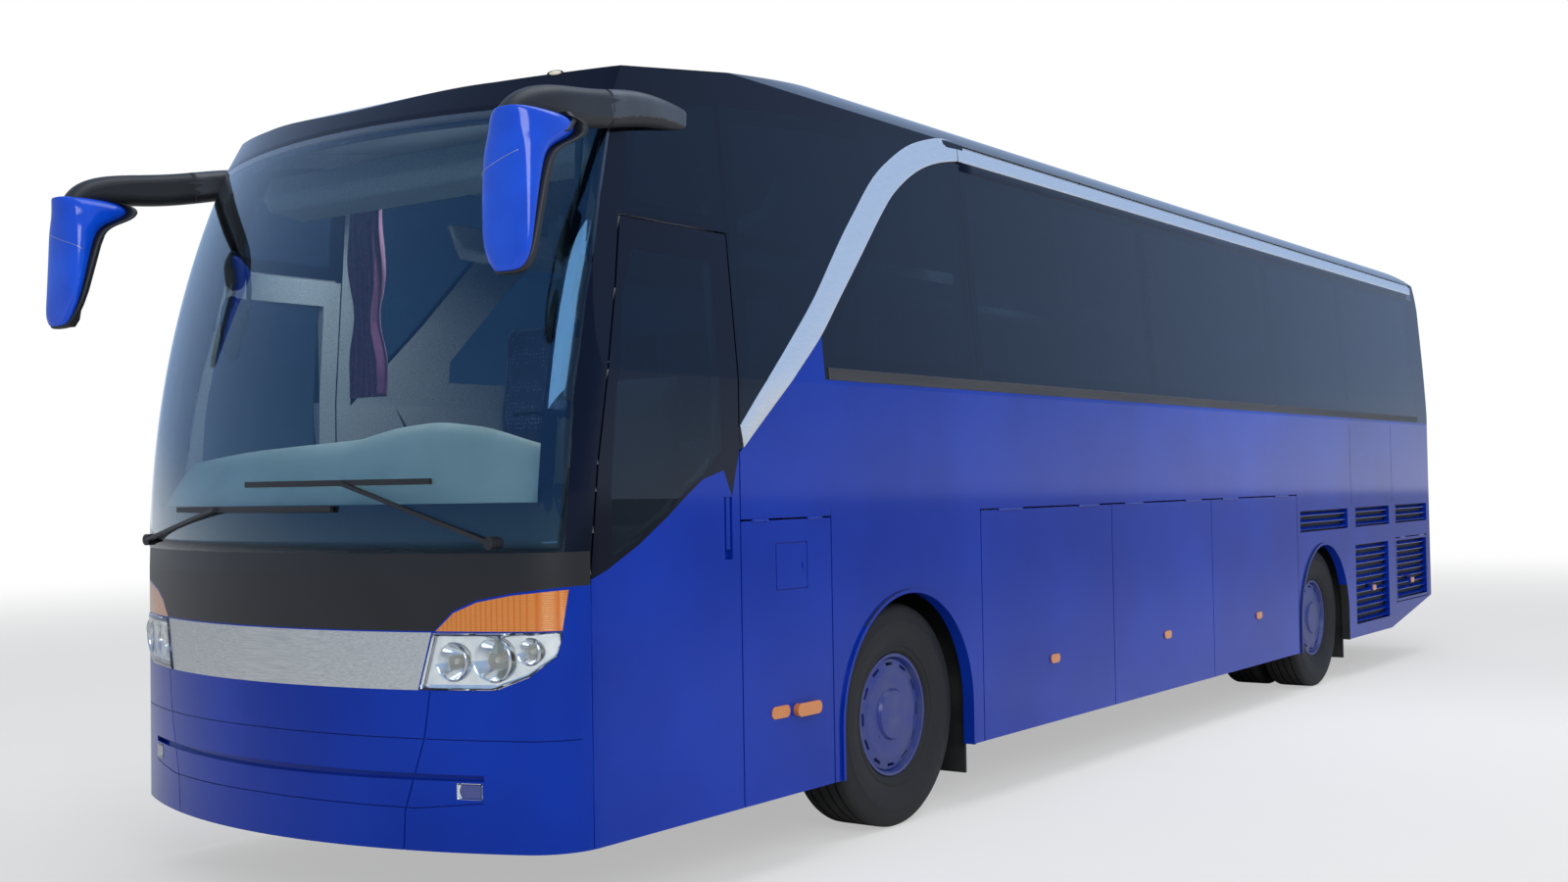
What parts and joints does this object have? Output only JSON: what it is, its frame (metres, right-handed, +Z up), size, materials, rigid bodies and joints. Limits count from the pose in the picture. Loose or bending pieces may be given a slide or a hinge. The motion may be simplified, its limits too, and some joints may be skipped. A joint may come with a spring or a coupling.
{
  "type": "coach bus",
  "caption": "High-deck two-axle touring coach with hinged doors, luggage flaps, louvred engine lids, steered front wheels and a seated cabin.",
  "frame": {"origin": "under the middle of the coach's box, on the road", "axes": "+X forward, +Y to the left, +Z up"},
  "size_m": [12.0134, 2.9366, 3.5677],
  "materials": {
    "body_paint": "gloss",
    "black_paint": "gloss",
    "silver_trim": "satin",
    "stainless": "satin",
    "tinted_glass": "gloss",
    "lamp_lens": "gloss",
    "chassis_paint": "satin",
    "floor_board": "matte",
    "air_bag": "matte",
    "tyre": "matte",
    "wheel_paint": "gloss",
    "seat_cloth": "matte"
  },
  "bodies": {
    "body": {"air_springs": "air_bag", "chassis_front": "chassis_paint", "chassis_rear": "chassis_paint", "dashboard": "floor_board", "driver_platform": "floor_board", "driver_seat": "seat_cloth", "engine_block": "chassis_paint", "floor_deck": "floor_board", "front_axle": "chassis_paint", "front_bumper": "body_paint", "front_face": "black_paint", "front_strip": "stainless", "headlamps": "lamp_lens", "indicators": "lamp_lens", "mirror_arms": "floor_board", "mirror_heads": "body_paint", "passenger_seats": "seat_cloth", "rear_axle": "chassis_paint", "rear_wall": "body_paint", "rear_window": "tinted_glass", "roof": "body_paint", "screen_frame": "black_paint", "side_glass": "tinted_glass", "side_grilles": "body_paint", "side_wall_left": "body_paint", "side_wall_right": "body_paint", "silver_arches": "silver_trim", "tail_lamps": "lamp_lens", "wheel_housings": "floor_board", "window_bands": "black_paint", "windscreen": "tinted_glass", "wipers": "floor_board"},
    "driver_door": {"driver_door": "body_paint"},
    "front_door_arm": {"front_door_arm": "chassis_paint"},
    "front_door": {"front_door": "body_paint"},
    "mid_door_arm": {"mid_door_arm": "chassis_paint"},
    "mid_door": {"mid_door": "body_paint"},
    "luggage_flap_left_1": {"luggage_flap_left_1": "body_paint"},
    "luggage_flap_left_2": {"luggage_flap_left_2": "body_paint"},
    "luggage_flap_left_3": {"luggage_flap_left_3": "body_paint"},
    "luggage_flap_right_1": {"luggage_flap_right_1": "body_paint"},
    "luggage_flap_right_2": {"luggage_flap_right_2": "body_paint"},
    "service_flap_left": {"service_flap_left": "body_paint"},
    "grille_lid_left": {"grille_lid_left": "body_paint"},
    "grille_lid_right": {"grille_lid_right": "body_paint"},
    "engine_lid": {"engine_lid": "body_paint"},
    "roof_hatch_front": {"roof_hatch_front": "body_paint"},
    "roof_hatch_rear": {"roof_hatch_rear": "body_paint"},
    "knuckle_left": {"knuckle_left": "chassis_paint"},
    "knuckle_right": {"knuckle_right": "chassis_paint"},
    "wheel_front_left": {"wheel_front_left": "wheel_paint", "tyre_front_left": "tyre"},
    "wheel_front_right": {"wheel_front_right": "wheel_paint", "tyre_front_right": "tyre"},
    "wheel_rear_left": {"wheel_rear_left": "wheel_paint", "tyres_rear_left": "tyre"},
    "wheel_rear_right": {"wheel_rear_right": "wheel_paint", "tyres_rear_right": "tyre"},
    "steering_wheel": {"steering_wheel": "floor_board"}
  },
  "joints": [
    {"name": "driver_door_hinge", "type": "hinge", "parent": "body", "child": "driver_door", "pos_m": [5.494, 1.272, 1.4], "axis": [0, 0, 1], "range_deg": [-78, 0]},
    {"name": "front_door_arm_swing", "type": "hinge", "parent": "body", "child": "front_door_arm", "pos_m": [5.336, -1.1, 1], "axis": [0, 0, 1], "range_deg": [0, 118]},
    {"name": "front_door_leaf_turn", "type": "hinge", "parent": "front_door_arm", "child": "front_door", "pos_m": [4.736, -1.1, 1], "axis": [0, 0, 1], "range_deg": [-118, 0]},
    {"name": "mid_door_arm_swing", "type": "hinge", "parent": "body", "child": "mid_door_arm", "pos_m": [-1.87, -1.1, 1], "axis": [0, 0, -1], "range_deg": [0, 118]},
    {"name": "mid_door_leaf_turn", "type": "hinge", "parent": "mid_door_arm", "child": "mid_door", "pos_m": [-1.27, -1.1, 1], "axis": [0, 0, -1], "range_deg": [-118, 0]},
    {"name": "luggage_flap_left_1_hinge", "type": "hinge", "parent": "body", "child": "luggage_flap_left_1", "pos_m": [1.82, 1.277, 1.468], "axis": [1, 0, 0], "range_deg": [0, 85]},
    {"name": "luggage_flap_left_2_hinge", "type": "hinge", "parent": "body", "child": "luggage_flap_left_2", "pos_m": [0.27, 1.277, 1.468], "axis": [1, 0, 0], "range_deg": [0, 85]},
    {"name": "luggage_flap_left_3_hinge", "type": "hinge", "parent": "body", "child": "luggage_flap_left_3", "pos_m": [-1.34, 1.277, 1.468], "axis": [1, 0, 0], "range_deg": [0, 85]},
    {"name": "luggage_flap_right_1_hinge", "type": "hinge", "parent": "body", "child": "luggage_flap_right_1", "pos_m": [1.82, -1.277, 1.468], "axis": [-1, 0, 0], "range_deg": [0, 85]},
    {"name": "luggage_flap_right_2_hinge", "type": "hinge", "parent": "body", "child": "luggage_flap_right_2", "pos_m": [0.27, -1.277, 1.468], "axis": [-1, 0, 0], "range_deg": [0, 85]},
    {"name": "service_flap_left_hinge", "type": "hinge", "parent": "body", "child": "service_flap_left", "pos_m": [4.27, 1.277, 1.468], "axis": [1, 0, 0], "range_deg": [0, 85]},
    {"name": "grille_lid_left_hinge", "type": "hinge", "parent": "body", "child": "grille_lid_left", "pos_m": [-5.2, 1.277, 1.064], "axis": [1, 0, 0], "range_deg": [0, 85]},
    {"name": "grille_lid_right_hinge", "type": "hinge", "parent": "body", "child": "grille_lid_right", "pos_m": [-5.2, -1.277, 1.064], "axis": [-1, 0, 0], "range_deg": [0, 85]},
    {"name": "engine_lid_hinge", "type": "hinge", "parent": "body", "child": "engine_lid", "pos_m": [-6.002, 0, 1.754], "axis": [0, 1, 0], "range_deg": [0, 80]},
    {"name": "roof_hatch_front_hinge", "type": "hinge", "parent": "body", "child": "roof_hatch_front", "pos_m": [1.774, 0, 3.562], "axis": [0, 1, 0], "range_deg": [0, 30]},
    {"name": "roof_hatch_rear_hinge", "type": "hinge", "parent": "body", "child": "roof_hatch_rear", "pos_m": [-2.626, 0, 3.562], "axis": [0, 1, 0], "range_deg": [0, 30]},
    {"name": "steer_left", "type": "hinge", "parent": "body", "child": "knuckle_left", "pos_m": [3.3, 0.93, 0.522], "axis": [0, 0, 1], "range_deg": [-40, 40]},
    {"name": "steer_right", "type": "hinge", "parent": "body", "child": "knuckle_right", "pos_m": [3.3, -0.93, 0.522], "axis": [0, 0, 1], "range_deg": [-40, 40]},
    {"name": "spin_front_left", "type": "hinge", "parent": "knuckle_left", "child": "wheel_front_left", "pos_m": [3.3, 1.06, 0.522], "axis": [0, 1, 0], "continuous": true},
    {"name": "spin_front_right", "type": "hinge", "parent": "knuckle_right", "child": "wheel_front_right", "pos_m": [3.3, -1.06, 0.522], "axis": [0, 1, 0], "continuous": true},
    {"name": "spin_rear_left", "type": "hinge", "parent": "body", "child": "wheel_rear_left", "pos_m": [-2.78, 0.9, 0.522], "axis": [0, 1, 0], "continuous": true},
    {"name": "spin_rear_right", "type": "hinge", "parent": "body", "child": "wheel_rear_right", "pos_m": [-2.78, -0.9, 0.522], "axis": [0, 1, 0], "continuous": true},
    {"name": "steering_wheel_turn", "type": "hinge", "parent": "body", "child": "steering_wheel", "pos_m": [5.09, 0.56, 1.64], "axis": [-0.5, 0, 0.866], "range_deg": [-720, 720]}
  ],
  "couplings": [
    {"joint": "front_door_leaf_turn", "follows": "front_door_arm_swing", "ratio": -1},
    {"joint": "mid_door_leaf_turn", "follows": "mid_door_arm_swing", "ratio": -1},
    {"joint": "steer_right", "follows": "steer_left", "ratio": 1},
    {"joint": "steering_wheel_turn", "follows": "steer_left", "ratio": 18}
  ]
}
